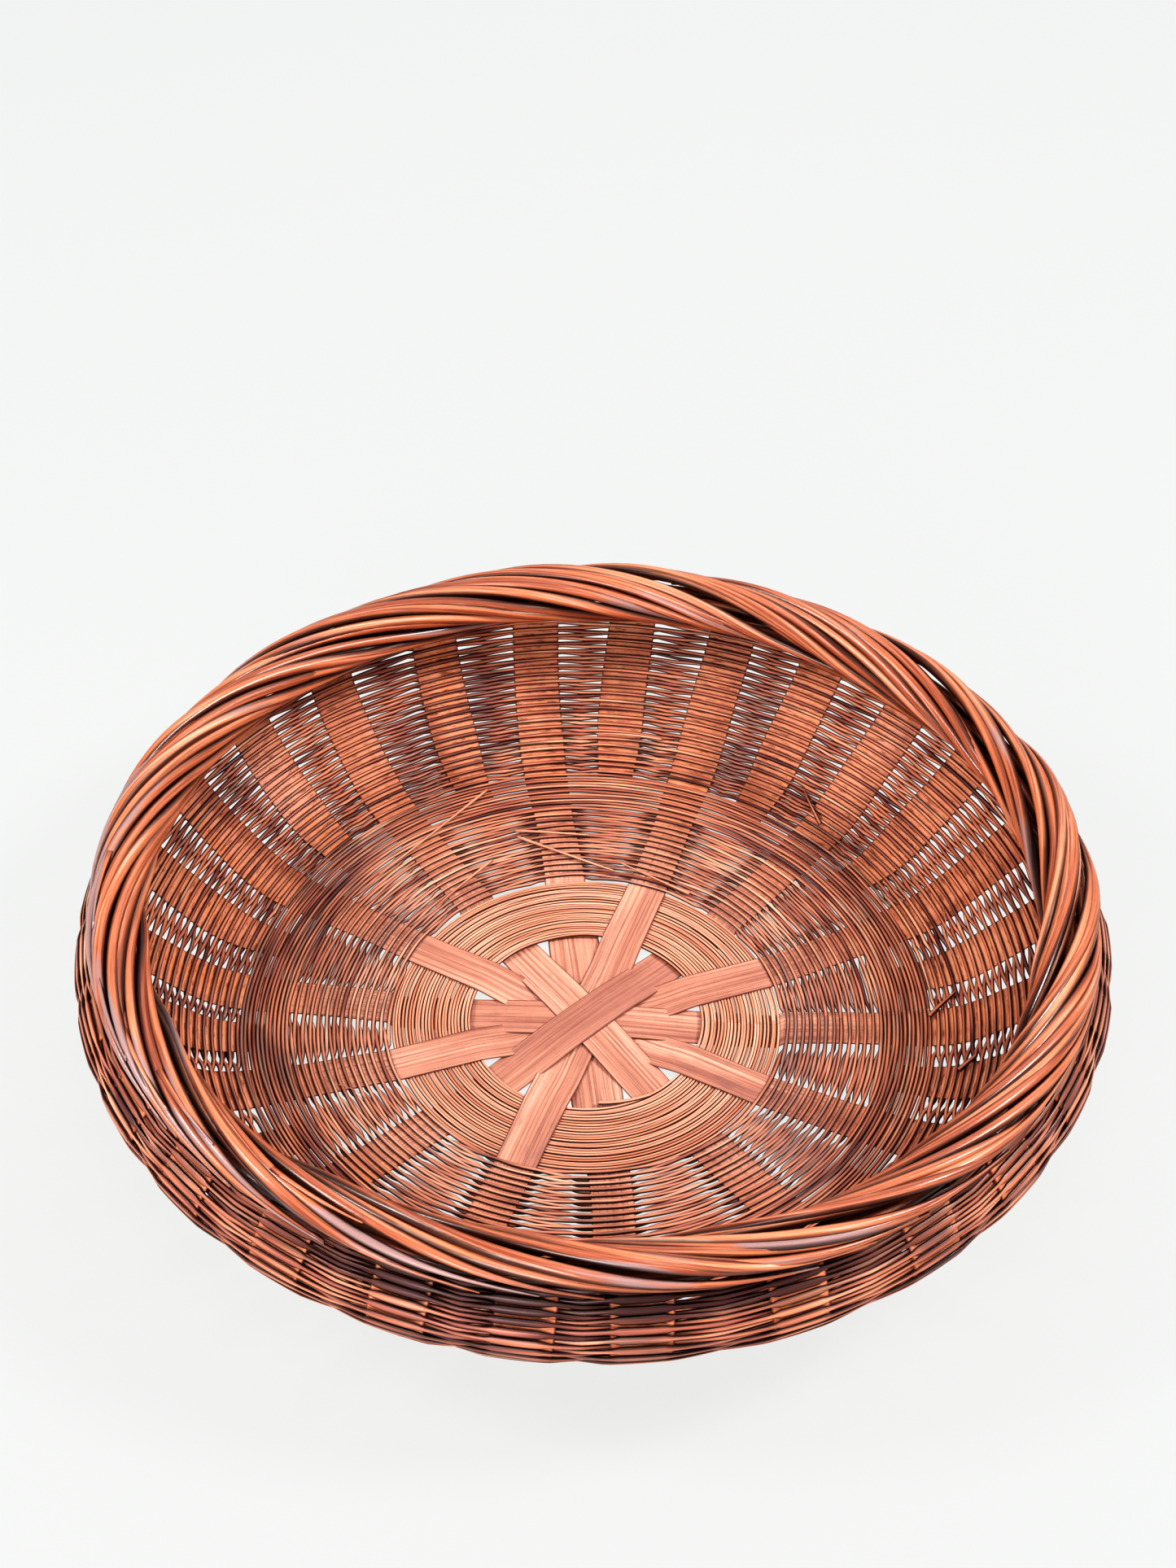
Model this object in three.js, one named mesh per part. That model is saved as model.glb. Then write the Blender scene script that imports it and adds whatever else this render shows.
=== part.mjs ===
// A shallow round wicker basket, in millimetres, +Z up, standing on z = 0 with its axis on Z.
// Seven flat splints cross at the centre of the base, run out under or over a coiled ring, and go
// on up the wall as fourteen stakes. Fourteen more stakes fill the gaps of the wall. The fine
// weavers behind them are one thin shell a zone. The wall bulges and turns in again at the top,
// where bundles of rods roll over it as the rim.
import * as THREE from "three";

// Clearance kept between neighbouring pieces.
const GAP = 0.3;

// Base splints and stakes: flat strips of split cane.
const SPLINT_WIDTH = 12;
const SPLINT_THICKNESS = 0.6;
const LAYER = SPLINT_THICKNESS + GAP;

// Each splint's heading in degrees, its place in the stack where they all cross and its place
// beside its neighbours further out, and whether it passes over the ring or under it.
const SPLINTS = [
  { heading: -3, crossing: 4, beside: 1, overRing: false },
  { heading: 19.5, crossing: 2, beside: 0, overRing: true },
  { heading: 44, crossing: 6, beside: 2, overRing: false },
  { heading: 71, crossing: 3, beside: 1, overRing: true },
  { heading: 95, crossing: 0, beside: 0, overRing: false },
  { heading: 126.5, crossing: 5, beside: 1, overRing: false },
  { heading: 152, crossing: 1, beside: 0, overRing: true },
];

// Ring of coiled strands round the crossing.
const RING_INNER = 37;
const RING_OUTER = 61.5;
const RING_THICKNESS = 1;
const RING_UNDERSIDE = LAYER;
const OVER_RING = RING_UNDERSIDE + RING_THICKNESS + GAP;

// Radii between which a splint changes height, with the number of steps that it takes.
const CROSSING_EDGE = 15;
const BESIDE_START = 27;
const BESIDE_END = 31.6;
const RING_APPROACH = RING_INNER - 1;
const CROSSING_STEPS = 4;
const APPROACH_STEPS = 3;

// Middle surface of the weave, from just outside the ring, across the floor, out to the bulge of
// the wall and in again under the rim: radius and height.
const BOWL = new THREE.SplineCurve([
  new THREE.Vector2(65, 2.6),
  new THREE.Vector2(93, 5.6),
  new THREE.Vector2(116, 10),
  new THREE.Vector2(134, 22.5),
  new THREE.Vector2(149.3, 37),
  new THREE.Vector2(154, 48),
  new THREE.Vector2(145.3, 61.5),
]);
const WEAVE_THICKNESS = 1.8;

// A flat stake needs more clearance than GAP, because the weave behind it is round.
const STAKE_GAP = 0.7;
const STAKE_LIFT = WEAVE_THICKNESS / 2 + STAKE_GAP + SPLINT_THICKNESS / 2;

// The bowl's length in equal steps, and the zones of the weave by the step where each one ends.
// Side stakes start with the dense rows between the floor and the wall.
const BOWL_STEPS = 12;
const SIDE_STAKE_START = 3;
const WEAVE_ZONES = [
  { name: "floor_weave", end: SIDE_STAKE_START },
  { name: "dense_weave", end: 5 },
  { name: "turn_weave", end: 7 },
  { name: "lower_wall_weave", end: 10 },
  { name: "upper_wall_weave", end: BOWL_STEPS },
];

// Rim: bundles of rods that start inside the wall, roll over its edge and end outside.
const RIM_BUNDLES = 28;
const BUNDLE_DIAMETER = 5.6;
const BUNDLE_SIDES = 6;
const BUNDLE_STEPS = 10;
const BUNDLE_SWEEP = 77;
const RIM_ROLL = new THREE.SplineCurve([
  new THREE.Vector2(145.4, 53),
  new THREE.Vector2(137.6, 56),
  new THREE.Vector2(134, 62.4),
  new THREE.Vector2(138.4, 68),
  new THREE.Vector2(145, 68.8),
  new THREE.Vector2(149.8, 65),
  new THREE.Vector2(151.7, 61.8),
]);

const ROUND_STEPS = 56;

const MATERIALS = {
  splint: { color: 0xc4825f, roughness: 0.72 },
  stake: { color: 0xb4622f, roughness: 0.74 },
  ring: { color: 0xcf8a5a, roughness: 0.7 },
  weaver: { color: 0x9a5238, roughness: 0.76 },
  rod: { color: 0xb9663c, roughness: 0.5 },
};

const group = new THREE.Group();

function addPiece(name, geometry, materialName) {
  const material = new THREE.MeshStandardMaterial({ ...MATERIALS[materialName], metalness: 0 });
  const mesh = new THREE.Mesh(geometry, material);
  mesh.name = name;
  group.add(mesh);
}

// The direction square to a run of points at one of them, to the left of travel.
function leftOf(points, index) {
  const before = points[Math.max(index - 1, 0)];
  const after = points[Math.min(index + 1, points.length - 1)];
  const along = after.clone().sub(before).normalize();
  return new THREE.Vector2(-along.y, along.x);
}

// A run of points moved to its left by a distance.
function offset(points, distance) {
  return points.map((point, i) => point.clone().addScaledVector(leftOf(points, i), distance));
}

// The closed outline of a band of even thickness along a run of points.
function bandOutline(points, thickness) {
  return [...offset(points, -thickness / 2), ...offset(points, thickness / 2).reverse()];
}

// A flat strip along points of radius and height in the upright plane at a heading.
function strip(points, heading) {
  const shape = new THREE.Shape(bandOutline(points, SPLINT_THICKNESS));
  const geometry = new THREE.ExtrudeGeometry(shape, { depth: SPLINT_WIDTH, bevelEnabled: false });
  geometry.translate(0, 0, -SPLINT_WIDTH / 2);
  geometry.rotateX(Math.PI / 2);
  geometry.rotateZ(THREE.MathUtils.degToRad(heading));
  return geometry;
}

// A ring round the Z axis whose section is a closed outline of radius and height.
function revolve(outline) {
  const geometry = new THREE.LatheGeometry([...outline, outline[0]], ROUND_STEPS);
  geometry.rotateX(Math.PI / 2);
  return geometry;
}

// Height of the middle of a splint at a distance from the centre, inside the weave.
function splintHeight(splint, distance) {
  const { lerp, smoothstep } = THREE.MathUtils;
  const atRing = splint.overRing ? OVER_RING : 0;
  const settling = smoothstep(distance, CROSSING_EDGE, BESIDE_START);
  const meeting = smoothstep(distance, BESIDE_END, RING_APPROACH);
  const stacked = lerp(splint.crossing, splint.beside, settling) * LAYER;
  return lerp(stacked, atRing, meeting) + SPLINT_THICKNESS / 2;
}

// Evenly spaced values from one to another, both included.
function spaced(from, to, steps) {
  return Array.from({ length: steps + 1 }, (_, i) => THREE.MathUtils.lerp(from, to, i / steps));
}

// One splint from rim to rim: across the base and up both sides of the bowl.
function baseSplint(splint) {
  const radii = [
    ...spaced(CROSSING_EDGE, BESIDE_START, CROSSING_STEPS),
    ...spaced(BESIDE_END, RING_APPROACH, APPROACH_STEPS),
    RING_OUTER,
  ];
  const base = radii.map((radius) => new THREE.Vector2(radius, splintHeight(splint, radius)));
  const arm = [...base, ...stakeLine];
  const oppositeArm = arm.map((point) => new THREE.Vector2(-point.x, point.y)).reverse();
  return strip([...oppositeArm, ...arm], splint.heading);
}

// One face of a zone of the fine weave, with a gap left before its first point.
function weaveFace(from, to, side) {
  const points = offset(bowlLine, (side * WEAVE_THICKNESS) / 2).slice(from, to + 1);
  const onward = points[1].clone().sub(points[0]).normalize();
  points[0].addScaledVector(onward, GAP);
  return points;
}

// A zone of the fine weave, between two steps of the bowl's length.
function weaveZone(from, to) {
  return revolve([...weaveFace(from, to, -1), ...weaveFace(from, to, 1).reverse()]);
}

// A bundle of rods, as one thick strand along the roll of the rim from a starting heading.
function rimBundle(heading) {
  const path = spaced(0, 1, BUNDLE_STEPS).map((share) => {
    const section = RIM_ROLL.getPointAt(share);
    const angle = THREE.MathUtils.degToRad(heading + BUNDLE_SWEEP * share);
    return new THREE.Vector3(
      section.x * Math.cos(angle),
      section.x * Math.sin(angle),
      section.y,
    );
  });
  const circle = new THREE.Path().absarc(0, 0, BUNDLE_DIAMETER / 2, 0, 2 * Math.PI);
  const section = new THREE.Shape(circle.getSpacedPoints(BUNDLE_SIDES).slice(1));
  return new THREE.ExtrudeGeometry(section, {
    steps: BUNDLE_STEPS,
    extrudePath: new THREE.CatmullRomCurve3(path),
  });
}

function baseRing() {
  const top = RING_UNDERSIDE + RING_THICKNESS;
  return revolve([
    new THREE.Vector2(RING_INNER, RING_UNDERSIDE),
    new THREE.Vector2(RING_OUTER, RING_UNDERSIDE),
    new THREE.Vector2(RING_OUTER, top),
    new THREE.Vector2(RING_INNER, top),
  ]);
}

function twoDigits(number) {
  return String(number).padStart(2, "0");
}

// The weave's middle surface, and the middle of the stakes that lie on its inner face.
const bowlLine = BOWL.getSpacedPoints(BOWL_STEPS);
const stakeLine = offset(bowlLine, STAKE_LIFT);

// Headings of the arms, two to a splint, in order round the basket, and half way between them.
const armHeadings = SPLINTS.flatMap(({ heading }) => [heading, heading + 180]).sort((a, b) => a - b);
const sideHeadings = armHeadings.map((heading, i) => {
  const next = armHeadings[i + 1] ?? armHeadings[0] + 360;
  return (heading + next) / 2;
});

SPLINTS.forEach((splint, i) => addPiece(`base_splint_${i + 1}`, baseSplint(splint), "splint"));
addPiece("base_ring", baseRing(), "ring");
WEAVE_ZONES.forEach(({ name, end }, i) => {
  const start = i > 0 ? WEAVE_ZONES[i - 1].end : 0;
  addPiece(name, weaveZone(start, end), "weaver");
});
sideHeadings.forEach((heading, i) => {
  const stake = strip(stakeLine.slice(SIDE_STAKE_START), heading);
  addPiece(`side_stake_${twoDigits(i + 1)}`, stake, "stake");
});
for (let i = 0; i < RIM_BUNDLES; i += 1) {
  addPiece(`rim_bundle_${twoDigits(i + 1)}`, rimBundle((360 * i) / RIM_BUNDLES), "rod");
}

export default group;
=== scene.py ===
import math

import bpy
import numpy as np
from mathutils import Matrix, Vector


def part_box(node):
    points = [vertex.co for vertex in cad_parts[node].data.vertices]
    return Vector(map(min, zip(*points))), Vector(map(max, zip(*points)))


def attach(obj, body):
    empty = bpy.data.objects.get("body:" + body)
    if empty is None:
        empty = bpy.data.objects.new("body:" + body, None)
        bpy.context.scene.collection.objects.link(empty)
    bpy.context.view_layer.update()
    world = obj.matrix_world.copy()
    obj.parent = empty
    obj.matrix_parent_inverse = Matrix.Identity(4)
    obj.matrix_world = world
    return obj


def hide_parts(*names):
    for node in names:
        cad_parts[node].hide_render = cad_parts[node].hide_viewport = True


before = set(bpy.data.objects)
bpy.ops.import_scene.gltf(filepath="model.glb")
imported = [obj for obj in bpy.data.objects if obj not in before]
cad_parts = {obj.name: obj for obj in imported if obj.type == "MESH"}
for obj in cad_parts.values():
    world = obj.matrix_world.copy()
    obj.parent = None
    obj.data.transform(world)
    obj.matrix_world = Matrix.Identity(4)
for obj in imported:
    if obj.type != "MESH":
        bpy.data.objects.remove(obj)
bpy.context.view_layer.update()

# A woven wicker basket: flat splints and stakes, a coiled ring, fine weavers and a rolled rim.
# Lengths below are in millimetres and angles in degrees. Meshes are made in metres.
MM = 0.001
SEED = 41

# ---------------------------------------------------------------- the basket's own dimensions

# Flat strips: their thickness, half their width on the floor, where side stakes start and on the
# wall, the height of one layer where they are stacked, and the gap left over the ring.
STAKE_THICKNESS = 0.3
FLOOR_HALF_WIDTH = 6.6
SIDE_STAKE_HALF_START = 5.5
STAKE_HALF_WIDTH = 8.1
LAYER = 0.32
STRIP_CLEARANCE = 0.2

# Length of a step along an arm in the base, the radius where the base part ends, and the number
# of steps of an arm and of a side stake on the bowl.
BASE_STEP = 1.5
BASE_END = 60.5
ARM_STEPS = 70
SIDE_STAKE_STEPS = 60

# Random drifts here and below are a size and how many random values there are along the strand.
SPLINT_DRIFT = (0.02, 9)
STAKE_HEADING_JITTER = 0.3

# Heading of each base splint, half its width in the base, the turn that its far and near arms take
# on their way out, its place in the stack where all cross and beside its neighbours, and whether
# it passes over the ring.
SPLINTS = [
    {"heading": -3, "half": 6.9, "turn": (-1, 1), "crossing": 4, "beside": 2, "over_ring": False},
    {"heading": 19.5, "half": 6.7, "turn": (0.8, 0), "crossing": 2, "beside": 1, "over_ring": True},
    {"heading": 44, "half": 6.9, "turn": (1.5, 0), "crossing": 6, "beside": 2, "over_ring": False},
    {"heading": 71, "half": 6.9, "turn": (0.6, 0), "crossing": 3, "beside": 1, "over_ring": True},
    {"heading": 97, "half": 8.3, "turn": (1, -2), "crossing": 0, "beside": 0, "over_ring": False},
    {"heading": 126.5, "half": 6.9, "turn": (0.5, 0), "crossing": 5, "beside": 2, "over_ring": False},
    {"heading": 152, "half": 6.7, "turn": (1.2, 0), "crossing": 1, "beside": 1, "over_ring": True},
]

# Radii between which a splint leaves the stack, comes to its height at the ring, takes the width
# of the floor, takes its turn and takes the width of the wall.
CROSSING_EDGE = 8
BESIDE_START = 28
BESIDE_END = 22
RING_APPROACH = 38
NARROWING = (30, 60)
TURNING = (62, 112)
WIDENING = (85, 125)

# Middle surface of the weave, from the ring's edge out to the wall's bulge and in again under the
# rim: radius and height. The opening sits a little to +X of the base's centre, and the shift starts
# at a share of the surface's line.
BOWL_LINE = [
    (61, 2.1),
    (77, 3.8),
    (93, 5.6),
    (116, 10),
    (134, 22.5),
    (149.3, 37),
    (154, 48),
    (145.3, 61.5),
]
OPENING_SHIFT = 2.5
SHIFT_START = 0.55

# Shares of the bowl's line that an arm and a side stake cover.
ARM_SHARES = (0.015, 0.985)
SIDE_STAKE_SHARES = (0.3, 0.985)
SIDE_STAKE_WIDENING = (0.3, 0.55)

# Nodes of the weave, by the share of the bowl's line where each one ends.
WEAVE_NODES = [
    ("floor_weave", 0.265),
    ("dense_weave", 0.43),
    ("turn_weave", 0.6),
    ("lower_wall_weave", 0.84),
    ("upper_wall_weave", 1),
]

# Rows between these radii are packed close. Inside them the weavers pass the arms alone, and
# outside them the side stakes too.
DENSE_START = 93
DENSE_END = 108

# Distance between rows, steps round a row, and the gap between a row and the edge of a stake.
FLOOR_PITCH = 1.22
DENSE_PITCH = 1.27
WALL_PITCH = 1.36
FLOOR_STEPS = 420
WALL_STEPS = 504
ROW_CLEARANCE = 0.5

# Weavers of each zone: half width, half thickness, how far they stand off the middle surface, how
# far a slit opens where they pass behind, and how much wider they are between the stakes. On the
# floor a slit starts to open at a share of the way behind. On the wall they spread behind a stake.
FLOOR_WEAVER = {"half": (0.6, 0.68), "thick": 0.42, "lift": 0.62, "slit": (0.7, 1.4), "spread": 0.16}
DENSE_WEAVER = {"half": (0.63, 0.7), "thick": 0.42, "lift": 0.25, "raise": 0.4}
WALL_WEAVER = {"half": (0.58, 0.68), "thick": 0.5, "lift": 0.86, "slit": (0.6, 0.9), "spread": 0.2}
FLOOR_SLIT_START = 0.5
BEHIND_STAKE_SPREAD = 0.95

# Room left before the first row and after the last one.
FIRST_ROW = 0.6
LAST_ROW = 0.8

# Random drifts along a row. The sway is the same for all rows, so that neighbours lean together.
LIFT_DRIFT = (0.15, 28)
SWAY = (0.5, 11)
FINE_WOBBLE = (0.09, 50)
BROAD_WOBBLE = (0.08, 9)
WIDTH_DRIFT = (0.08, 60)

# Least angle in which a weaver changes sides, and the share of the way in from a stake's edge where
# a weaver behind it is as wide as it gets.
LEAST_CROSSING = 0.5
COVERED_SHARE = 1 / 3

# Ring of coiled strands: half their thickness, half their width as a share of their pitch, and
# their drifts in radius and in height. The cut end of the innermost one runs between two azimuths
# and between two distances past the ring's edge, a little above the ring.
RING_STRANDS = 24
RING_INNER = 36.4
RING_HALF_THICKNESS = 0.55
RING_STRAND_SHARES = (0.46, 0.56)
RING_STEPS = 240
RING_WOBBLE = (0.07, 14)
RING_SWAY = (0.1, 5)
RING_RIPPLE = (0.1, 20)
RING_UNEVENNESS = 0.05
CUT_END = (277, 303)
CUT_END_DRIFT = (-1.6, 0.6)
CUT_END_LIFT = 0.5
CUT_END_HALF = (0.7, 0.45)
CUT_END_STEPS = 24

# Rim: bundles of rods that roll over its core, by radius and height, while they sweep round it.
# The ease makes them roll faster at the start. The rim is shifted to +X with the opening.
RIM_BUNDLES = 28
RIM_SWEEP = 77
RIM_ROLL = [
    (145.4, 53),
    (137.8, 56),
    (134, 62),
    (137.5, 67.4),
    (143.5, 69),
    (147.6, 66.8),
    (149, 62.4),
]
RIM_CORE = (142.5, 61)
RIM_SHIFT = 2.2
RIM_EASE = 0.35
HEADING_JITTER = 1.1
START_JITTER = 1.5
SWEEP_JITTER = 4

# Rods of a bundle: how many there are, the distance between them by that number, their spread at
# the start and what is left of it at the end, and the rise of the middle one of three.
BUNDLE_SIZES = [2, 3, 3]
LANES = {2: 3.3, 3: 2.5}
LANE_NARROWING = 0.45
LANE_CLOSING = 0.5
TOP_ROD_RISE = 1.3
LOW_ROD_RISE = -0.2

# One rod: half its width, its thickness as a share of its width, the share of its length where it
# starts to thin out and how much thinner it ends, and where along it the line wanders.
ROD_HALF = (1.6, 2.1)
ROD_FLATNESS = 0.92
ROD_ENDING = 0.7
ROD_TAPER = 0.75
ROD_STEPS = 44
ROD_JITTER = 0.35
WANDER_AT = (0, 0.3, 0.6, 1)

# Rods hidden in the roll, which it is wound round: radius and height.
RIM_CORE_RODS = [(140.5, 62.3), (144, 63.3)]
CORE_HALF = 1.9
CORE_DRIFT = (0.3, 9)
CORE_STEPS = 160

# Bundles with a twig left on their last rod, the steps of the rod where a twig may start, how many
# steps it is long, how far it reaches sideways, and half its widths and its thickness.
OFFSHOOT_BUNDLES = {10, 11, 12, 13, 15}
OFFSHOOT_STARTS = (24, 32)
OFFSHOOT_STEPS = 8
OFFSHOOT_REACH = 3
OFFSHOOT_WIDTHS = (1.1, 0.3)
OFFSHOOT_HALF_THICKNESS = 0.7

# Broken weavers that lie on the weave: azimuth and radius of both ends, and half the width.
LOOSE_WEAVERS = [
    ((46, 114), (52, 121), 0.7),
    ((-2, 108), (2, 117), 0.9),
    ((-14, 118), (-11, 127), 1),
]
# Pale straws and splinters: the same.
LOOSE_STRAWS = [
    ((109.6, 105), (140, 91), 0.6),
    ((107, 82), (82, 65), 0.65),
    ((115.6, 75), (137.5, 68), 0.6),
    ((58, 64), (81, 69), 0.5),
    ((107, 85), (90, 80), 0.6),
    ((78, 128), (89, 128.5), 0.5),
    ((203, 82), (209, 76), 0.2),
    ((20, 124), (4, 118), 0.15),
]
# Their height over the weave, how far they may arch above it, and their loss of width at one end.
LOOSE_LIFT = 1.6
LOOSE_ARCH = 1.2
LOOSE_TAPER = 0.5
LOOSE_FLATNESS = 0.6
LOOSE_STEPS = 16

# Lamps: place in metres, power in watts and size in metres. Each one points at the basket.
LAMPS = {
    "top": ((0.05, -0.45, 1.4), 3.2, 0.5),
    "back": ((0.1, 1, 1), 2, 0.7),
    "side": ((0.9, 0, 1), 8, 0.3),
    "left": ((-0.9, -0.1, 0.9), 5.5, 0.3),
    "front": ((-0.4, -1.1, 0.5), 6, 0.5),
}

# A pale floor that glows by itself, and a sky that is as bright at the horizon and fades between
# two sines of elevation.
FLOOR_HALF_METRES = 4
FLOOR_GLOW = 0.49
FLOOR_ROUGHNESS = 0.9
SKY_GLOW = 0.24
SKY_FADE = (0.1, 0.5)

CAMERA_PLACE = (-0.3, -494, 553)
CAMERA_PITCH = 42.38
CAMERA_ROLL = 0.8
FIELD_OF_VIEW = 37.26


def rng_for(name):
    """Random numbers of one part's own, so that a change in one part leaves the others alone."""
    return np.random.default_rng([SEED, *name.encode()])


# ------------------------------------------------------------------------------- lines and meshes

STEPS_PER_SPAN = 40


def smooth_line(points, count=400):
    """Evenly spaced points of a smooth line through the given ones."""
    given = np.array(points, float)
    padded = np.vstack([2 * given[0] - given[1], given, 2 * given[-1] - given[-2]])
    share = np.linspace(0, 1, STEPS_PER_SPAN, endpoint=False)[:, None]
    spans = []
    for a, b, c, d in zip(padded, padded[1:], padded[2:], padded[3:]):
        square = 2 * a - 5 * b + 4 * c - d
        cube = 3 * b - a - 3 * c + d
        spans.append(0.5 * (2 * b + (c - a) * share + square * share**2 + cube * share**3))
    fine = np.vstack([*spans, given[-1:]])
    steps = np.linalg.norm(np.diff(fine, axis=0), axis=1)
    length = np.concatenate([[0], np.cumsum(steps)])
    even = np.linspace(0, length[-1], count)
    return np.column_stack([np.interp(even, length, column) for column in fine.T])


def unit(vectors):
    return vectors / np.linalg.norm(vectors, axis=-1, keepdims=True)


def tangents(points, closed=False):
    """Directions along a run of points."""
    if closed:
        return unit(np.roll(points, -1, axis=0) - np.roll(points, 1, axis=0))
    return unit(np.gradient(points, axis=0))


def smoothstep(value, low=0, high=1):
    """0 up to low, 1 from high on and smooth in between."""
    clipped = np.clip((value - low) / (high - low), 0, 1)
    return clipped * clipped * (3 - 2 * clipped)


BOWL = smooth_line(BOWL_LINE)
BOWL_NORMAL = tangents(BOWL)[:, ::-1] * (-1, 1)
BOWL_SHARE = np.linspace(0, 1, len(BOWL))
BOWL_LENGTH = np.linalg.norm(np.diff(BOWL, axis=0), axis=1).sum()


def polar(radius, angle, height):
    """Points at radii, azimuths in radians and heights."""
    return np.column_stack([radius * np.cos(angle), radius * np.sin(angle), height])


def on_bowl(angle, share, lift):
    """Points on the bowl at azimuths in radians and shares of its line, and the normals there."""
    angle, share, lift = np.broadcast_arrays(angle, share, lift)
    radius, height = (np.interp(share, BOWL_SHARE, BOWL[:, i]) for i in (0, 1))
    inward, upward = (np.interp(share, BOWL_SHARE, BOWL_NORMAL[:, i]) for i in (0, 1))
    points = polar(radius + inward * lift, angle, height + upward * lift)
    points[:, 0] += OPENING_SHIFT * smoothstep(share, SHIFT_START, 1)
    return points, unit(polar(inward, angle, upward))


def around(count):
    """Azimuths in radians of evenly spaced steps of a full turn."""
    return np.linspace(0, 2 * math.pi, count, endpoint=False)


def straight_up(count):
    """The upward direction, once for each of a number of points."""
    return np.tile((0, 0, 1.0), (count, 1))


# Cross-sections, as shares of half width and half height.
ROUND_SIDES = 8
ROUND = [(math.cos(angle), math.sin(angle)) for angle in around(ROUND_SIDES)]
FLAT_TOP = [(1, 0), (0.99, 0.8), (0.96, 1), (0.4, 1), (-0.4, 1), (-0.96, 1), (-0.99, 0.8)]
FLAT = FLAT_TOP + [(-a, -b) for a, b in FLAT_TOP]

# Shift of the grain between the two faces of a strand, as a share of its half height.
FACE_SHIFT = 0.3


class Strands:
    """Collects swept strands and turns them into one mesh object."""

    def __init__(self):
        self.verts, self.quads, self.caps, self.grain, self.edge = [], [], [], [], []
        self.count = 0

    def add(self, points, up, half_width, half_height, section, closed=False, seed=0.0):
        """Sweeps a section along points. up is the direction of its height, and the seed sets
        the strand's own grain."""
        along = tangents(points, closed)
        side = unit(np.cross(along, up))
        up = np.cross(side, along)
        n, k = len(points), len(section)
        a, b = np.array(section).T
        width = np.broadcast_to(half_width, n)[:, None] * a
        height = np.broadcast_to(half_height, n)[:, None]
        verts = points[:, None] + side[:, None] * width[..., None]
        verts = verts + up[:, None] * (height * b)[..., None]
        steps = np.linalg.norm(np.diff(points, axis=0), axis=1)
        grain = np.zeros((n, k, 3))
        grain[..., 0] = np.concatenate([[0], np.cumsum(steps)])[:, None]
        grain[..., 1] = width + np.sign(b) * FACE_SHIFT * height
        grain[..., 2] = seed
        self.verts.append(verts.reshape(-1, 3))
        self.grain.append(grain.reshape(-1, 3))
        self.edge.append(np.tile(np.abs(a), n))
        self.add_faces(n, k, closed)

    def add_faces(self, n, k, closed):
        """Faces of a strand of n sections with k corners each, whose points were just added."""
        corners = self.count + np.arange(n)[:, None] * k + np.arange(k)
        start = corners if closed else corners[:-1]
        end = np.roll(corners, -1, axis=0) if closed else corners[1:]
        quads = [start, np.roll(start, -1, axis=1), np.roll(end, -1, axis=1), end]
        self.quads.append(np.stack(quads, axis=-1).reshape(-1, 4))
        if not closed:
            self.caps.append(corners[0][::-1])
            self.caps.append(corners[-1])
        self.count += n * k

    def build(self, name, material, *nodes):
        """Makes the object, puts it on the basket's body and hides the CAD nodes that it stands for.
        """
        mesh = bpy.data.meshes.new(name)
        faces = np.vstack(self.quads).tolist() + [cap.tolist() for cap in self.caps]
        mesh.from_pydata((np.vstack(self.verts) * MM).tolist(), [], faces)
        grain = mesh.attributes.new("grain", "FLOAT_VECTOR", "POINT")
        grain.data.foreach_set("vector", (np.vstack(self.grain) * MM).ravel())
        edge = mesh.attributes.new("edge", "FLOAT", "POINT")
        edge.data.foreach_set("value", np.concatenate(self.edge))
        mesh.shade_smooth()
        mesh.materials.append(material)
        piece = bpy.data.objects.new(name, mesh)
        bpy.context.scene.collection.objects.link(piece)
        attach(piece, "root")
        if nodes:
            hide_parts(*nodes)
        return piece


def drift(rng, count, size, knots):
    """A closed run of smooth random values of a given size."""
    values = rng.normal(0, size, knots)
    values = np.append(values, values[0])
    at = np.linspace(0, knots, count, endpoint=False)
    low = at.astype(int)
    blend = smoothstep(at - low)
    return values[low] * (1 - blend) + values[low + 1] * blend


# ------------------------------------------------------------------------------------- materials

# Sockets of a Mix node that is set to colours, which share their names with its other sockets.
MIX_A = 6
MIX_B = 7
MIX_RESULT = 2

COAT_ROUGHNESS = 0.2
EDGE_END = 0.97


def rgba(red, green, blue):
    return (red, green, blue, 1)


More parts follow.
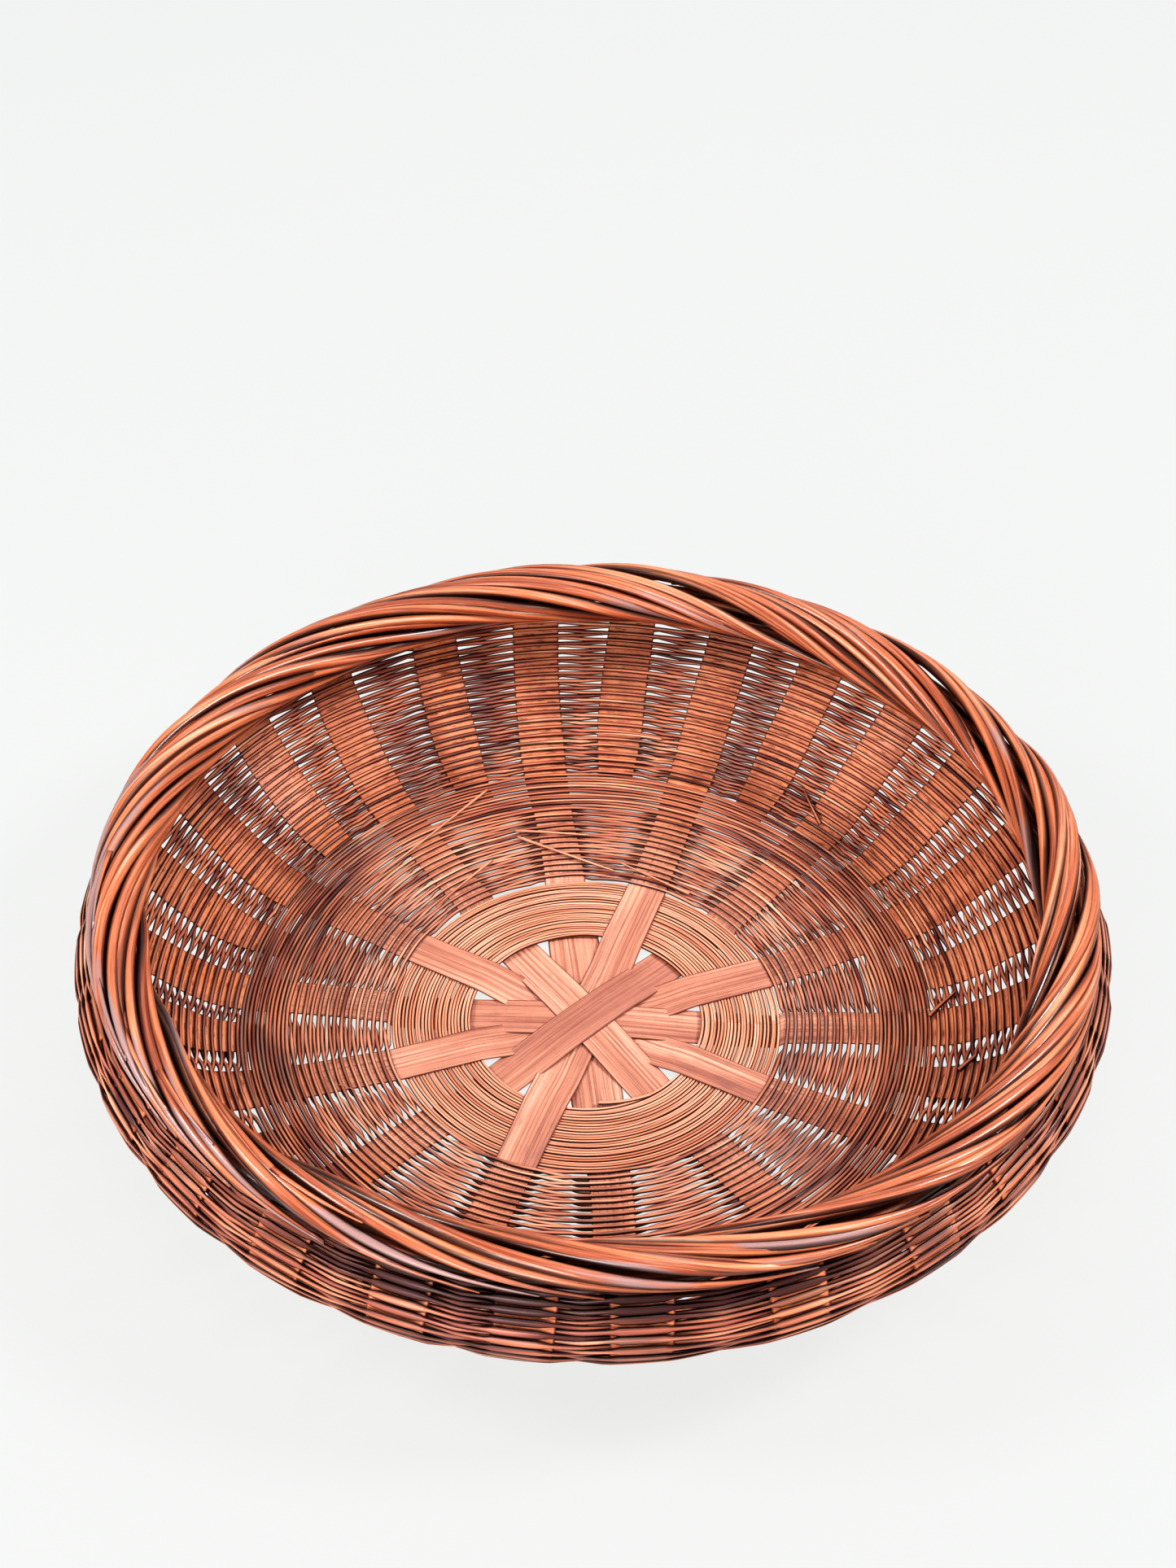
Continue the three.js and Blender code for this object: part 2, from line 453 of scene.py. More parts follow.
class Shader:
    """Short calls for the nodes of one procedural material."""

    def __init__(self, name):
        self.material = bpy.data.materials.new(name)
        self.material.use_nodes = True
        self.tree = self.material.node_tree
        self.bsdf = self.tree.nodes["Principled BSDF"]

    def put(self, socket, value):
        if isinstance(value, bpy.types.NodeSocket):
            self.tree.links.new(value, socket)
        else:
            socket.default_value = value

    def node(self, kind, inputs=(), **settings):
        """Adds a node with its settings, and its input sockets by name or number."""
        made = self.tree.nodes.new(kind)
        for key, value in settings.items():
            setattr(made, key, value)
        for key, value in dict(inputs).items():
            self.put(made.inputs[key], value)
        return made

    def grain(self, along, across, strand):
        """The strand's own coordinates, scaled along it, across it and from strand to strand."""
        attribute = self.node("ShaderNodeAttribute", attribute_name="grain").outputs["Vector"]
        inputs = {0: attribute, 1: (along, across, strand)}
        return self.node("ShaderNodeVectorMath", inputs, operation="MULTIPLY").outputs["Vector"]

    def noise(self, vector, scale=1.0, detail=3.0, roughness=0.55):
        inputs = {"Vector": vector, "Scale": scale, "Detail": detail, "Roughness": roughness}
        return self.node("ShaderNodeTexNoise", inputs).outputs["Fac"]

    def place(self):
        return self.node("ShaderNodeTexCoord").outputs["Object"]

    def distance(self):
        """Distance from the basket's axis, in metres."""
        inputs = {0: self.place(), 1: (1, 1, 0)}
        flat = self.node("ShaderNodeVectorMath", inputs, operation="MULTIPLY").outputs["Vector"]
        return self.node("ShaderNodeVectorMath", {0: flat}, operation="LENGTH").outputs["Value"]

    def ramp(self, value, *stops):
        """Colours by value: each stop is a position and a colour."""
        made = self.node("ShaderNodeValToRGB", {"Fac": value})
        elements = made.color_ramp.elements
        while len(elements) < len(stops):
            elements.new(0.5)
        for element, (position, colour) in zip(elements, stops):
            element.position = position
            element.color = rgba(*colour)
        return made.outputs["Color"]

    def steps(self, value, low, high, low_out=0.0, high_out=1.0):
        """low_out up to low, high_out from high on and smooth in between."""
        inputs = {
            "Value": value,
            "From Min": low,
            "From Max": high,
            "To Min": low_out,
            "To Max": high_out,
        }
        made = self.node("ShaderNodeMapRange", inputs, interpolation_type="SMOOTHSTEP")
        return made.outputs["Result"]

    def math(self, operation, a, b):
        return self.node("ShaderNodeMath", {0: a, 1: b}, operation=operation).outputs["Value"]

    def mix(self, factor, a, b):
        inputs = {"Factor": factor, MIX_A: a, MIX_B: b}
        return self.node("ShaderNodeMix", inputs, data_type="RGBA").outputs[MIX_RESULT]

    def painted_edge_shade(self, colour, amount, tint, start=0.4):
        """Painted shade down both sides of every strand, which darkens the gaps between strands."""
        edge = self.node("ShaderNodeAttribute", attribute_name="edge").outputs["Fac"]
        return self.mix(self.steps(edge, start, EDGE_END, 0, amount), colour, tint)

    def bump(self, height, strength, distance):
        inputs = {"Height": height, "Strength": strength, "Distance": distance}
        self.put(self.bsdf.inputs["Normal"], self.node("ShaderNodeBump", inputs).outputs["Normal"])

    def finish(self, colour, roughness, coat=0.0):
        self.put(self.bsdf.inputs["Base Color"], colour)
        self.put(self.bsdf.inputs["Roughness"], roughness)
        self.bsdf.inputs["Coat Weight"].default_value = coat
        self.bsdf.inputs["Coat Roughness"].default_value = COAT_ROUGHNESS
        return self.material


# Tints laid over the canes' own colours. The tints for strand edges and under the rim are painted
# shade, the recess tint is painted shade with some dirt, and the others are the canes' own marks.
EDGE_SHADE_BLACK = rgba(0.02, 0.004, 0.003)
RECESS_SHADE_AND_DIRT = rgba(0.05, 0.012, 0.016)
CRACK_BROWN = rgba(0.12, 0.02, 0.006)
UNDER_RIM_SHADOW = rgba(0.12, 0.022, 0.012)
STREAK_BROWN = rgba(0.12, 0.03, 0.02)
EDGE_SHADE_BROWN = rgba(0.1, 0.02, 0.01)
DAMP_PURPLE = rgba(0.15, 0.06, 0.065)
ROD_FIBRE = rgba(0.2, 0.045, 0.025)
SMUDGE = rgba(0.25, 0.13, 0.12)
SPLINT_FIBRE = rgba(0.28, 0.1, 0.07)
RING_STREAK = rgba(0.3, 0.08, 0.035)
BARK_GREY = rgba(0.37, 0.245, 0.235)
PALE_FIBRE = rgba(0.98, 0.72, 0.58)
PALE_ROD_FIBRE = rgba(0.98, 0.68, 0.55)

# Where the looks change, in metres: distances from the axis, heights and places from front to back.
FLOOR_TO_WALL_TONE = (0.066, 0.1)
SPLINT_TO_STAKE_TONE = (0.06, 0.11)
OUTSIDE_OF_RIM = (0.142, 0.146)
# Heights where the painted shade below the rim starts.
UNDER_RIM = (0.05, 0.06)
# Heights and places from front to back of the recess under the front rim, darkened with painted shade
# and some dirt.
RECESS_HEIGHT = (0.053, 0.057)
RECESS_FRONT = (-0.14, -0.115)

# How much more bark there is, for each metre to the right and to the back.
BARK_SLOPE = (-1.3, -0.6, 0)


def weaver_material():
    """Thin round cane, paler near the ring, with damp stains, painted shade below the rim and painted
    shade, partly dirt, in the recess at the front.
    """
    s = Shader("weaver_cane")
    strand = s.noise(s.grain(17, 60, 40000), detail=2)
    far = s.ramp(
        strand,
        (0.34, (0.16, 0.05, 0.042)),
        (0.43, (0.46, 0.165, 0.115)),
        (0.54, (0.8, 0.32, 0.19)),
        (0.66, (0.97, 0.54, 0.36)),
    )
    near = s.ramp(
        strand,
        (0.34, (0.42, 0.15, 0.1)),
        (0.48, (0.78, 0.36, 0.24)),
        (0.64, (0.97, 0.58, 0.43)),
    )
    base = s.mix(s.steps(s.distance(), *FLOOR_TO_WALL_TONE, 1, 0), far, near)
    streaks = s.noise(s.grain(50, 2600, 9000), detail=3)
    base = s.mix(s.steps(streaks, 0.35, 0.6, 0.4, 0), base, STREAK_BROWN)
    damp = s.noise(s.place(), scale=22, detail=3)
    stained = s.math("ADD", s.math("MULTIPLY", damp, 0.5), s.math("MULTIPLY", strand, 0.5))
    base = s.mix(s.steps(stained, 0.52, 0.6, 0, 0.65), base, DAMP_PURPLE)
    place = s.node("ShaderNodeSeparateXYZ", {0: s.place()})
    # Painted shade: the top of the wall is darkened where the rim would shade it.
    base = s.mix(s.steps(place.outputs["Z"], *UNDER_RIM, 0, 0.5), base, UNDER_RIM_SHADOW)
    # Painted shade, partly dirt: the recess under the front rim is darkened.
    front = s.steps(place.outputs["Y"], *RECESS_FRONT, 1, 0)
    high = s.steps(place.outputs["Z"], *RECESS_HEIGHT, 0, 0.85)
    base = s.mix(s.math("MULTIPLY", front, high), base, RECESS_SHADE_AND_DIRT)
    # Painted shade down the sides of each strand.
    base = s.painted_edge_shade(base, 0.98, EDGE_SHADE_BLACK, start=0.2)
    s.bump(streaks, 0.4, 0.0003)
    return s.finish(base, s.steps(streaks, 0.2, 0.8, 0.36, 0.52), coat=0.25)


def strip_material(name, tone_seed):
    """Flat strips of split cane: pinkish tan in the base, orange brown and cracked on the wall."""
    s = Shader(name)
    tone = s.noise(s.grain(7, 60, tone_seed), detail=3)
    base = s.ramp(
        tone,
        (0.34, (0.48, 0.22, 0.165)),
        (0.5, (0.67, 0.33, 0.235)),
        (0.64, (0.82, 0.45, 0.34)),
    )
    fibres = s.noise(s.grain(12, 1300, 9000), detail=7, roughness=0.8)
    base = s.mix(s.steps(fibres, 0.4, 0.54, 0.7, 0), base, SPLINT_FIBRE)
    base = s.mix(s.steps(fibres, 0.56, 0.7, 0, 0.6), base, PALE_FIBRE)
    smudge = s.noise(s.grain(40, 160, 12000), detail=4, roughness=0.7)
    base = s.mix(s.steps(smudge, 0.57, 0.75, 0, 0.55), base, SMUDGE)
    wall = s.ramp(
        tone,
        (0.34, (0.5, 0.17, 0.09)),
        (0.46, (0.68, 0.27, 0.15)),
        (0.58, (0.8, 0.35, 0.21)),
        (0.7, (0.78, 0.24, 0.06)),
    )
    cracks = s.noise(s.grain(1300, 150, 9000), detail=4, roughness=0.7)
    crack = s.steps(cracks, 0.54, 0.64)
    wall = s.mix(s.math("MULTIPLY", crack, 0.7), wall, CRACK_BROWN)
    base = s.mix(s.steps(s.distance(), *SPLINT_TO_STAKE_TONE), base, wall)
    # Painted shade along the thin sides of each strip.
    base = s.painted_edge_shade(base, 0.7, EDGE_SHADE_BROWN, start=0.93)
    s.bump(s.math("ADD", fibres, s.math("MULTIPLY", crack, -0.5)), 0.45, 0.0003)
    return s.finish(base, s.steps(fibres, 0.2, 0.8, 0.45, 0.65), coat=0.08)


def ring_material():
    """Fine pale cane with painted shade in every groove."""
    s = Shader("ring_cane")
    tone = s.noise(s.grain(8, 60, 40000), detail=2)
    base = s.ramp(
        tone,
        (0.3, (0.62, 0.25, 0.15)),
        (0.5, (0.85, 0.43, 0.29)),
        (0.7, (0.96, 0.58, 0.44)),
    )
    streaks = s.noise(s.grain(40, 2600, 9000), detail=4)
    base = s.mix(s.steps(streaks, 0.35, 0.6, 0.5, 0), base, RING_STREAK)
    # Painted shade down the sides of each strand.
    base = s.painted_edge_shade(base, 0.96, EDGE_SHADE_BLACK)
    s.bump(streaks, 0.3, 0.0002)
    return s.finish(base, s.steps(streaks, 0.2, 0.8, 0.4, 0.56), coat=0.2)


def rod_material():
    """Round peeled rods, some of them with grey bark left on, mostly on the basket's left."""
    s = Shader("rim_rod")
    tone = s.noise(s.grain(6, 60, 30000), detail=2)
    base = s.ramp(
        tone,
        (0.28, (0.28, 0.08, 0.04)),
        (0.44, (0.55, 0.18, 0.085)),
        (0.58, (0.68, 0.26, 0.135)),
        (0.74, (0.8, 0.4, 0.26)),
    )
    fibres = s.noise(s.grain(16, 1000, 9000), detail=6, roughness=0.7)
    base = s.mix(s.steps(fibres, 0.36, 0.56, 0.75, 0), base, ROD_FIBRE)
    base = s.mix(s.steps(fibres, 0.56, 0.7, 0, 0.65), base, PALE_ROD_FIBRE)
    patch = s.noise(s.grain(11, 100, 23000), detail=3)
    inputs = {0: s.place(), 1: BARK_SLOPE}
    leftness = s.node("ShaderNodeVectorMath", inputs, operation="DOT_PRODUCT").outputs["Value"]
    outside = s.steps(s.distance(), *OUTSIDE_OF_RIM)
    bark = s.math("ADD", patch, s.math("MULTIPLY", leftness, outside))
    base = s.mix(s.steps(bark, 0.6, 0.68, 0, 0.9), base, BARK_GREY)
    # Painted shade down the sides of each rod.
    base = s.painted_edge_shade(base, 0.92, EDGE_SHADE_BLACK)
    s.bump(fibres, 0.45, 0.0004)
    return s.finish(base, s.steps(fibres, 0.2, 0.8, 0.26, 0.44), coat=0.55)


def straw_material():
    """Pale splinters."""
    s = Shader("straw")
    tone = s.noise(s.grain(30, 900, 9000), detail=3)
    colour = s.ramp(tone, (0.35, (0.6, 0.26, 0.16)), (0.65, (0.9, 0.52, 0.36)))
    # Painted shade down the sides of each splinter.
    return s.finish(s.painted_edge_shade(colour, 0.5, EDGE_SHADE_BLACK), 0.5)


# ----------------------------------------------------------------------------- splints and stakes


def splint_height(splint, distance):
    """Height of a splint's middle at distances from the centre, inside the ring's outer edge."""
    ring_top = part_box("base_ring")[1].z / MM
    under = STAKE_THICKNESS / 2
    at_ring = ring_top + under + STRIP_CLEARANCE if splint["over_ring"] else under
    settled = smoothstep(distance, CROSSING_EDGE, BESIDE_START)
    stack = splint["crossing"] * (1 - settled) + splint["beside"] * settled
    meeting = smoothstep(distance, BESIDE_END, RING_APPROACH)
    return (stack * LAYER + under) * (1 - meeting) + at_ring * meeting


def arm_points(splint, side):
    """Middle line of one arm from the centre to the wall's top. side is 1 or -1."""
    base = np.arange(0, BASE_END, BASE_STEP)
    heading = splint["heading"] if side > 0 else splint["heading"] + 180
    turn = splint["turn"][0 if side > 0 else 1]
    share = np.linspace(*ARM_SHARES, ARM_STEPS)
    radius = np.interp(share, BOWL_SHARE, BOWL[:, 0])
    wall, normal = on_bowl(np.radians(heading + turn * smoothstep(radius, *TURNING)), share, 0.0)
    floor = polar(base, np.full(len(base), math.radians(heading)), splint_height(splint, base))
    return np.vstack([floor, wall]), np.vstack([straight_up(len(base)), normal])


def add_splints(material):
    for i, splint in enumerate(SPLINTS, 1):
        name = f"base_splint_{i}"
        near, near_up = arm_points(splint, -1)
        far, far_up = arm_points(splint, 1)
        points = np.vstack([near[:0:-1], far])
        up = np.vstack([near_up[:0:-1], far_up])
        radius = np.hypot(points[:, 0], points[:, 1])
        half = splint["half"] + (FLOOR_HALF_WIDTH - splint["half"]) * smoothstep(radius, *NARROWING)
        half += (STAKE_HALF_WIDTH - FLOOR_HALF_WIDTH) * smoothstep(radius, *WIDENING)
        half = half * (1 + drift(rng_for(name), len(points), *SPLINT_DRIFT))
        strands = Strands()
        strands.add(points, up, half, STAKE_THICKNESS / 2, FLAT, seed=i * 7.3)
        strands.build(f"splint_{i}", material, name)


def wall_headings():
    """Headings of the arms on the wall, in order, and of the side stakes half way between them."""
    arms = []
    for splint in SPLINTS:
        far_turn, near_turn = splint["turn"]
        arms += [splint["heading"] + far_turn, splint["heading"] + 180 + near_turn]
    arms = sorted(arms)
    following = arms[1:] + [arms[0] + 360]
    return arms, [(a + b) / 2 for a, b in zip(arms, following)]


ARM_HEADINGS, SIDE_HEADINGS = wall_headings()


def add_side_stakes(material):
    share = np.linspace(*SIDE_STAKE_SHARES, SIDE_STAKE_STEPS)
    widened = smoothstep(share, *SIDE_STAKE_WIDENING)
    half = SIDE_STAKE_HALF_START + (STAKE_HALF_WIDTH - SIDE_STAKE_HALF_START) * widened
    for i, heading in enumerate(SIDE_HEADINGS, 1):
        name = f"side_stake_{i:02d}"
        lean = rng_for(name).normal(0, STAKE_HEADING_JITTER)
        points, up = on_bowl(math.radians(heading + lean), share, 0.0)
        strands = Strands()
        strands.add(points, up, half, STAKE_THICKNESS / 2, FLAT, seed=i * 3.7 + 60)
        strands.build(f"stake_{i:02d}", material, name)


# ------------------------------------------------------------------------------------------ weave


def over_under(angle, headings, half_width, radius, parity):
    """How a weaver passes the stakes: 1 on the inner face of a stake and -1 behind it, straight in
    between, and how near it is to the middle of a stake, from 0 at its edge to 1 well inside."""
    degrees = np.degrees(angle) % 360
    stops = sorted(heading % 360 for heading in headings)
    before = np.searchsorted(stops, degrees, side="right") - 1
    cyclic = np.array([stops[-1] - 360, *stops, stops[0] + 360])
    low, high = cyclic[before + 1], cyclic[before + 2]
    half = np.degrees(half_width / radius)
    between = np.maximum(high - low - 2 * half, LEAST_CROSSING)
    share = np.clip((degrees - low - half) / between, 0, 1)
    sign = np.where((before + parity) % 2 == 0, 1.0, -1.0)
    inside = np.clip(1 - np.minimum(degrees - low, high - degrees) / half, 0, 1)
    return sign * (1 - 2 * share), smoothstep(inside, 0, COVERED_SHARE)


def weaver_rows():
    """Share of the bowl's line where each row of the weave lies."""
    rows = []
    reached = FIRST_ROW
    while reached < BOWL_LENGTH - LAST_ROW:
        radius = np.interp(reached / BOWL_LENGTH, BOWL_SHARE, BOWL[:, 0])
        if radius < DENSE_START:
            pitch = FLOOR_PITCH
        elif radius < DENSE_END and reached < BOWL_LENGTH / 2:
            pitch = DENSE_PITCH
        else:
            pitch = WALL_PITCH
        rows.append((reached + pitch / 2) / BOWL_LENGTH)
        reached += pitch
    return rows


def wall_row(rng, pattern, covered):
    """Half width, lift off the middle surface and shift up the bowl along a row of the wall."""
    behind = np.clip(-pattern, 0, 1)
    half = rng.uniform(*WALL_WEAVER["half"])
    lift = WALL_WEAVER["lift"] * pattern * (1 + drift(rng, WALL_STEPS, *LIFT_DRIFT))
    slit = rng.uniform(*WALL_WEAVER["slit"]) * behind
    spread = BEHIND_STAKE_SPREAD * covered * behind + WALL_WEAVER["spread"] * (1 - abs(pattern))
    return half * (1 + spread), lift, slit


def dense_row(rng, pattern):
    """The same for a row of the dense band, which has no slits."""
    half = rng.uniform(*DENSE_WEAVER["half"])
    return half, DENSE_WEAVER["lift"] * pattern + DENSE_WEAVER["raise"], 0


def floor_row(rng, pattern):
    """The same for a row of the floor."""
    half = rng.uniform(*FLOOR_WEAVER["half"])
    slit = rng.uniform(*FLOOR_WEAVER["slit"]) * smoothstep(-pattern, FLOOR_SLIT_START, 1)
    spread = FLOOR_WEAVER["spread"] * (1 - abs(pattern))
    return half * (1 + spread), FLOOR_WEAVER["lift"] * pattern, slit


def add_weaver(strands, rng, middle, row):
    """One row: a closed strand that passes over and under the stakes."""
    radius = np.interp(middle, BOWL_SHARE, BOWL[:, 0])
    on_wall = radius > DENSE_END
    count = FLOOR_STEPS if radius < DENSE_START else WALL_STEPS
    headings = ARM_HEADINGS + SIDE_HEADINGS if on_wall else ARM_HEADINGS
    reach = (STAKE_HALF_WIDTH if on_wall else FLOOR_HALF_WIDTH) + ROW_CLEARANCE
    angle = around(count)
    pattern, covered = over_under(angle, headings, reach, radius, row)
    if on_wall:
        thick = WALL_WEAVER["thick"]
        width, lift, slit = wall_row(rng, pattern, covered)
    elif radius > DENSE_START:
        thick = DENSE_WEAVER["thick"]
        width, lift, slit = dense_row(rng, pattern)
    else:
        thick = FLOOR_WEAVER["thick"]
        width, lift, slit = floor_row(rng, pattern)
    shift = drift(rng_for("sway"), count, *SWAY) + slit
    shift += drift(rng, count, *FINE_WOBBLE) + drift(rng, count, *BROAD_WOBBLE)
    points, up = on_bowl(angle, middle + shift / BOWL_LENGTH, lift)
    width = width * (1 + drift(rng, count, *WIDTH_DRIFT))
    strands.add(points, up, width, thick, ROUND, closed=True, seed=row * 1.37)


def add_weave(material):
    rows = list(enumerate(weaver_rows()))
    start = 0
    for node, end in WEAVE_NODES:
        rng = rng_for(node)
        strands = Strands()
        for row, middle in rows:
            if start <= middle < end:
                add_weaver(strands, rng, middle, row)
        strands.build(node + "_strands", material, node)
        start = end


# ------------------------------------------------------------------------------------------- ring


def add_cut_end(strands, height):
    """The end of the innermost strand, which comes away from the ring over the lowest splint."""
    angle = np.radians(np.linspace(*CUT_END, CUT_END_STEPS))
    radius = RING_INNER + np.linspace(*CUT_END_DRIFT, CUT_END_STEPS)
    points = polar(radius, angle, np.full(CUT_END_STEPS, height + CUT_END_LIFT))
    strands.add(points, straight_up(CUT_END_STEPS), *CUT_END_HALF, ROUND, seed=3.3)


def add_ring(material):
    low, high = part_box("base_ring")
    pitch = (high.x / MM - RING_INNER) / RING_STRANDS
    middle = (low.z + high.z) / 2 / MM
    rng = rng_for("base_ring")
    angle = around(RING_STEPS)
    strands = Strands()
    for i in range(RING_STRANDS):
        radius = RING_INNER + (i + 0.5) * pitch
        radius = radius + drift(rng, RING_STEPS, *RING_WOBBLE) + drift(rng, RING_STEPS, *RING_SWAY)
        height = middle + drift(rng, RING_STEPS, *RING_RIPPLE) + rng.normal(0, RING_UNEVENNESS)
        half = pitch * rng.uniform(*RING_STRAND_SHARES)
        points = polar(radius, angle, height)
        up = straight_up(RING_STEPS)
        strands.add(points, up, half, RING_HALF_THICKNESS, ROUND, closed=True, seed=i * 2.11)
    add_cut_end(strands, middle)
    strands.build("ring_strands", material, "base_ring")


# -------------------------------------------------------------------------------------------- rim


def rim_line(heading, sweep):
    """The middle line of a rod, and the direction out of the rim's core along it."""
    share = np.linspace(0, 1, ROD_STEPS)
    eased = (1 + RIM_EASE) * share - RIM_EASE * share**2
    roll = smooth_line(RIM_ROLL, ROD_STEPS)
    section = np.column_stack([np.interp(eased, share, column) for column in roll.T])
    angle = np.radians(heading + sweep * share)
    points = polar(section[:, 0], angle, section[:, 1])
    points[:, 0] += RIM_SHIFT
    outward = unit(section - np.array(RIM_CORE))
    return points, polar(outward[:, 0], angle, outward[:, 1])


def add_rim_core(material):
    rng = rng_for("rim_core")
    strands = Strands()
    for i, (radius, height) in enumerate(RIM_CORE_RODS):
        radius = radius + drift(rng, CORE_STEPS, *CORE_DRIFT)
        height = height + drift(rng, CORE_STEPS, *CORE_DRIFT)
        points = polar(radius, around(CORE_STEPS), height)
        points[:, 0] += RIM_SHIFT
        up = straight_up(CORE_STEPS)
        strands.add(points, up, CORE_HALF, CORE_HALF, ROUND, closed=True, seed=i * 4.7)
    piece = strands.build("rim_core", material)


def add_offshoot(strands, rng, points, side, up, seed):
    """A short twig left on a rod, that leaves it at a small angle and comes to a point."""
    start = int(rng.integers(*OFFSHOOT_STARTS))
    part = slice(start, start + OFFSHOOT_STEPS)
    away = np.linspace(0, 1, OFFSHOOT_STEPS)[:, None]
    sideways = rng.choice([-OFFSHOOT_REACH, OFFSHOOT_REACH])
    twig = points[part] + side[part] * away * sideways + up[part] * (1 + away)
    width = np.linspace(*OFFSHOOT_WIDTHS, OFFSHOOT_STEPS)
    strands.add(twig, up[part], width, OFFSHOOT_HALF_THICKNESS, ROUND, seed=seed)


def add_rod(strands, rng, heading, lane, rods, seed):
    """One rod of a bundle, in its own lane. Returns its line, for a twig to grow from."""
    start = rng.normal(0, START_JITTER)
    points, up = rim_line(heading + start, RIM_SWEEP + rng.normal(0, SWEEP_JITTER) - start)
    side = unit(np.cross(tangents(points), up))
    share = np.linspace(0, 1, ROD_STEPS)
    ending = smoothstep(share, ROD_ENDING, 1)
    spread = LANE_NARROWING + (1 - LANE_NARROWING) * np.sin(np.pi * share)
    spread = spread * (1 - LANE_CLOSING * ending)
    on_top = rods == 3 and lane == 1
    rise = rng.normal(0, ROD_JITTER) + (TOP_ROD_RISE if on_top else LOW_ROD_RISE)
    wander = np.interp(share, WANDER_AT, rng.normal(0, ROD_JITTER, len(WANDER_AT)))
    sideways = (lane - (rods - 1) / 2) * LANES[rods] * spread + wander
    points = points + side * sideways[:, None] + up * (rise * (1 - ending))[:, None]
    half = rng.uniform(*ROD_HALF) * (1 - ROD_TAPER * ending)
    strands.add(points, up, half, half * ROD_FLATNESS, ROUND, seed=seed)
    return points, side, up


def add_rim(material):
    for i in range(RIM_BUNDLES):
        name = f"rim_bundle_{i + 1:02d}"
        rng = rng_for(name)
        heading = 360 * i / RIM_BUNDLES + rng.normal(0, HEADING_JITTER)
        rods = int(rng.choice(BUNDLE_SIZES))
        strands = Strands()
        for lane in range(rods):
            line = add_rod(strands, rng, heading, lane, rods, i * 5.1 + lane * 1.9)
        if i in OFFSHOOT_BUNDLES:
            add_offshoot(strands, rng, *line, i * 5.1)
        strands.build(f"rim_rods_{i + 1:02d}", material, name)


# ------------------------------------------------------------------------------ loose ends of cane


def polar_point(degrees, radius):
    angle = math.radians(degrees)
    return (radius * math.cos(angle), radius * math.sin(angle))


def add_loose(name, ends, material):
    """Pieces of cane that lie on the floor's weave and arch a little off it."""
    rng = rng_for(name)
    strands = Strands()
    share = np.linspace(0, 1, LOOSE_STEPS)
    floor = slice(0, len(BOWL) // 2)
    for i, (start, end, half) in enumerate(ends):
        first, last = np.array([polar_point(*start), polar_point(*end)])
        x, y = (first * (1 - share[:, None]) + last * share[:, None]).T
        place = np.interp(np.hypot(x, y), BOWL[floor, 0], BOWL_SHARE[floor])
        arch = LOOSE_LIFT + rng.uniform(0, LOOSE_ARCH) * np.sin(np.pi * share)
        points, up = on_bowl(np.arctan2(y, x), place, arch)
        width = half * (1 - LOOSE_TAPER * share)
        strands.add(points, up, width, half * LOOSE_FLATNESS, ROUND, seed=i * 1.7 + 20)
    piece = strands.build(name, material)


# --------------------------------------------------------------------------------- studio and run

FLOOR_GREY = rgba(0.04, 0.04, 0.04)
FLOOR_TINT = rgba(0.99, 1, 0.99)
SKY_TINT = rgba(0.95, 0.97, 1)


def add_lamp(name, place, power, size):
    """A square lamp that points at the basket."""
    data = bpy.data.lights.new(name, "AREA")
    data.energy = power
    data.size = size
    lamp = bpy.data.objects.new(name, data)
    lamp.location = place
    x, y, z = place
    lamp.rotation_euler = (math.atan2(math.hypot(x, y), z), 0, math.atan2(x, -y))
    bpy.context.scene.collection.objects.link(lamp)


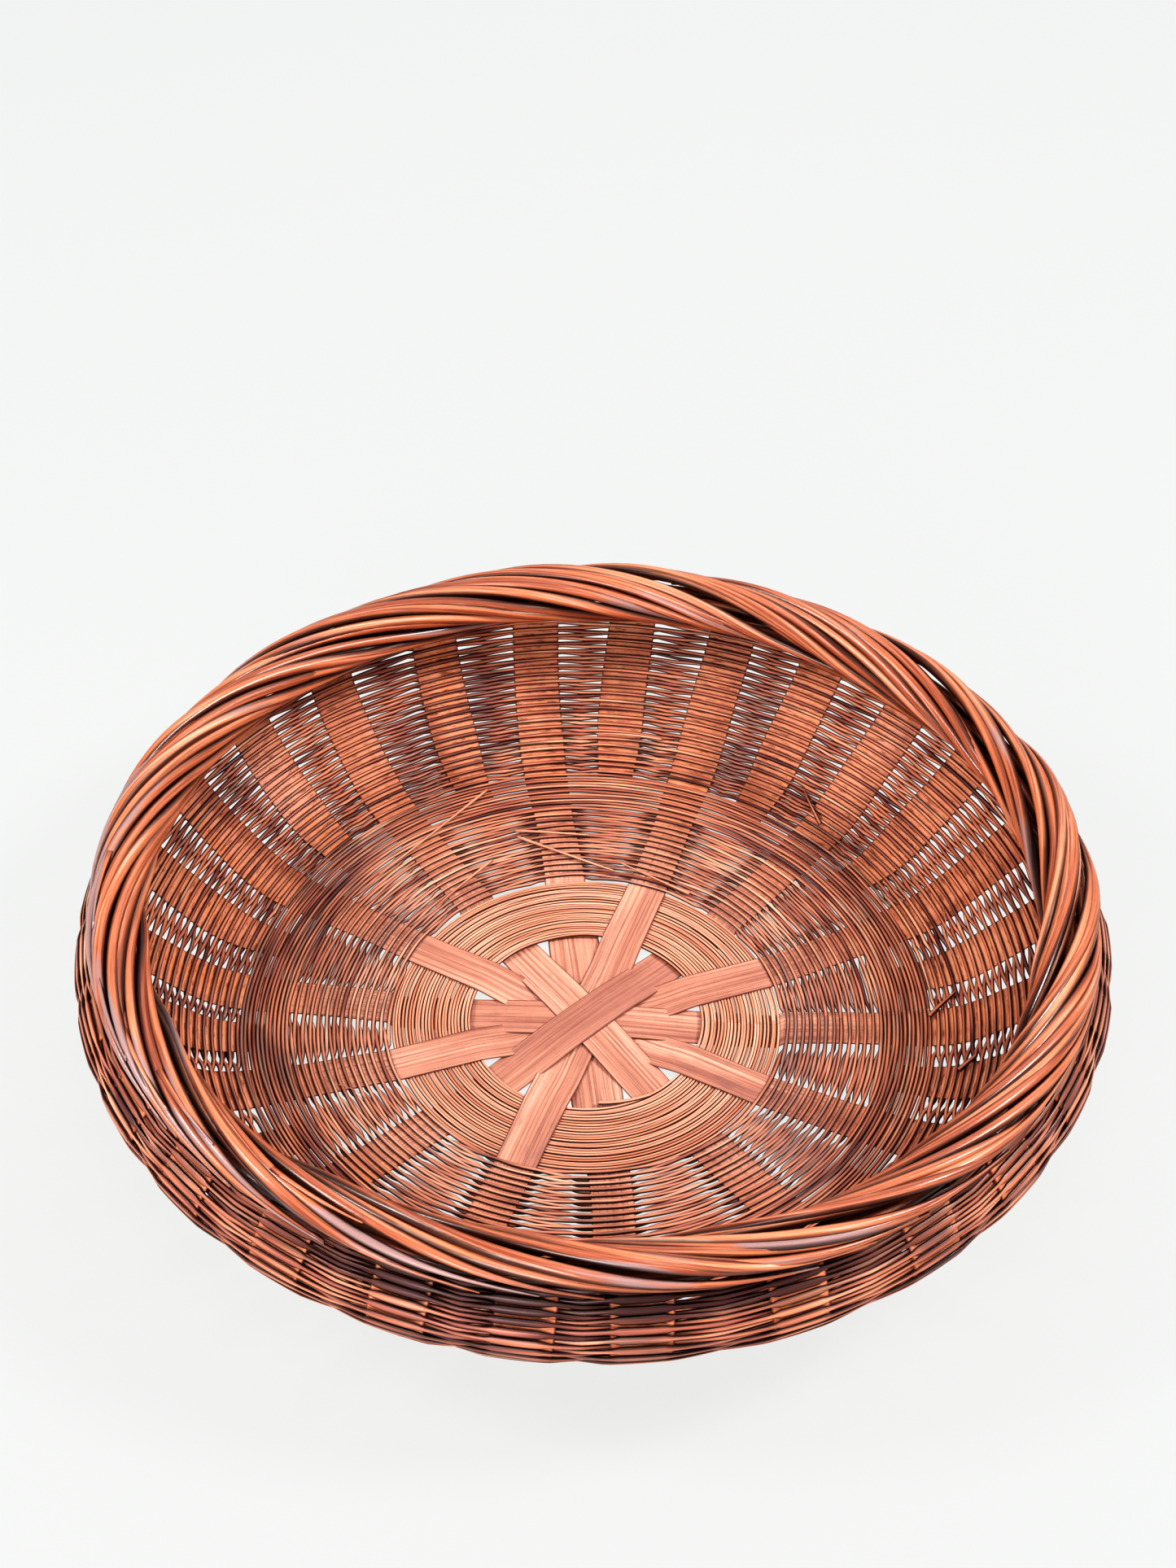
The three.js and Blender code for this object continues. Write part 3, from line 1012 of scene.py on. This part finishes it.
def add_floor():
    mesh = bpy.data.meshes.new("floor")
    far = FLOOR_HALF_METRES
    corners = [(-far, -far, 0), (far, -far, 0), (far, far, 0), (-far, far, 0)]
    mesh.from_pydata(corners, [], [(0, 1, 2, 3)])
    s = Shader("pale_floor")
    s.bsdf.inputs["Emission Color"].default_value = FLOOR_TINT
    s.bsdf.inputs["Emission Strength"].default_value = FLOOR_GLOW
    mesh.materials.append(s.finish(FLOOR_GREY, FLOOR_ROUGHNESS))
    floor = bpy.data.objects.new("floor", mesh)
    bpy.context.scene.collection.objects.link(floor)


def add_world():
    """Even light from all round, palest low down, so that low views have a plain backdrop too."""
    world = bpy.data.worlds.new("studio")
    world.use_nodes = True
    nodes, links = world.node_tree.nodes, world.node_tree.links
    background = nodes["Background"]
    background.inputs["Color"].default_value = SKY_TINT
    direction = nodes.new("ShaderNodeTexCoord")
    parts = nodes.new("ShaderNodeSeparateXYZ")
    fade = nodes.new("ShaderNodeMapRange")
    fade.interpolation_type = "SMOOTHSTEP"
    fade.inputs["From Min"].default_value, fade.inputs["From Max"].default_value = SKY_FADE
    fade.inputs["To Min"].default_value = FLOOR_GLOW
    fade.inputs["To Max"].default_value = SKY_GLOW
    links.new(direction.outputs["Generated"], parts.inputs["Vector"])
    links.new(parts.outputs["Z"], fade.inputs["Value"])
    links.new(fade.outputs["Result"], background.inputs["Strength"])
    bpy.context.scene.world = world


def add_studio():
    add_floor()
    add_world()
    for name, (place, power, size) in LAMPS.items():
        add_lamp(name, place, power, size)
    view = bpy.context.scene.view_settings
    view.view_transform = "Standard"
    view.look = "Very High Contrast"


def add_camera():
    data = bpy.data.cameras.new("camera")
    data.sensor_fit = "VERTICAL"
    data.angle = math.radians(FIELD_OF_VIEW)
    camera = bpy.data.objects.new("camera", data)
    camera.location = [value * MM for value in CAMERA_PLACE]
    tilt = Matrix.Rotation(math.radians(90 - CAMERA_PITCH), 3, "X")
    roll = Matrix.Rotation(math.radians(CAMERA_ROLL), 3, "Z")
    camera.rotation_euler = (tilt @ roll).to_euler()
    bpy.context.scene.collection.objects.link(camera)
    bpy.context.scene.camera = camera


add_studio()
add_camera()
add_splints(strip_material("splint_cane", 30000))
add_side_stakes(strip_material("stake_cane", 21000))
add_ring(ring_material())
weaver = weaver_material()
add_weave(weaver)
rod = rod_material()
add_rim(rod)
add_rim_core(rod)
add_loose("loose_weavers", LOOSE_WEAVERS, weaver)
add_loose("loose_straws", LOOSE_STRAWS, straw_material())
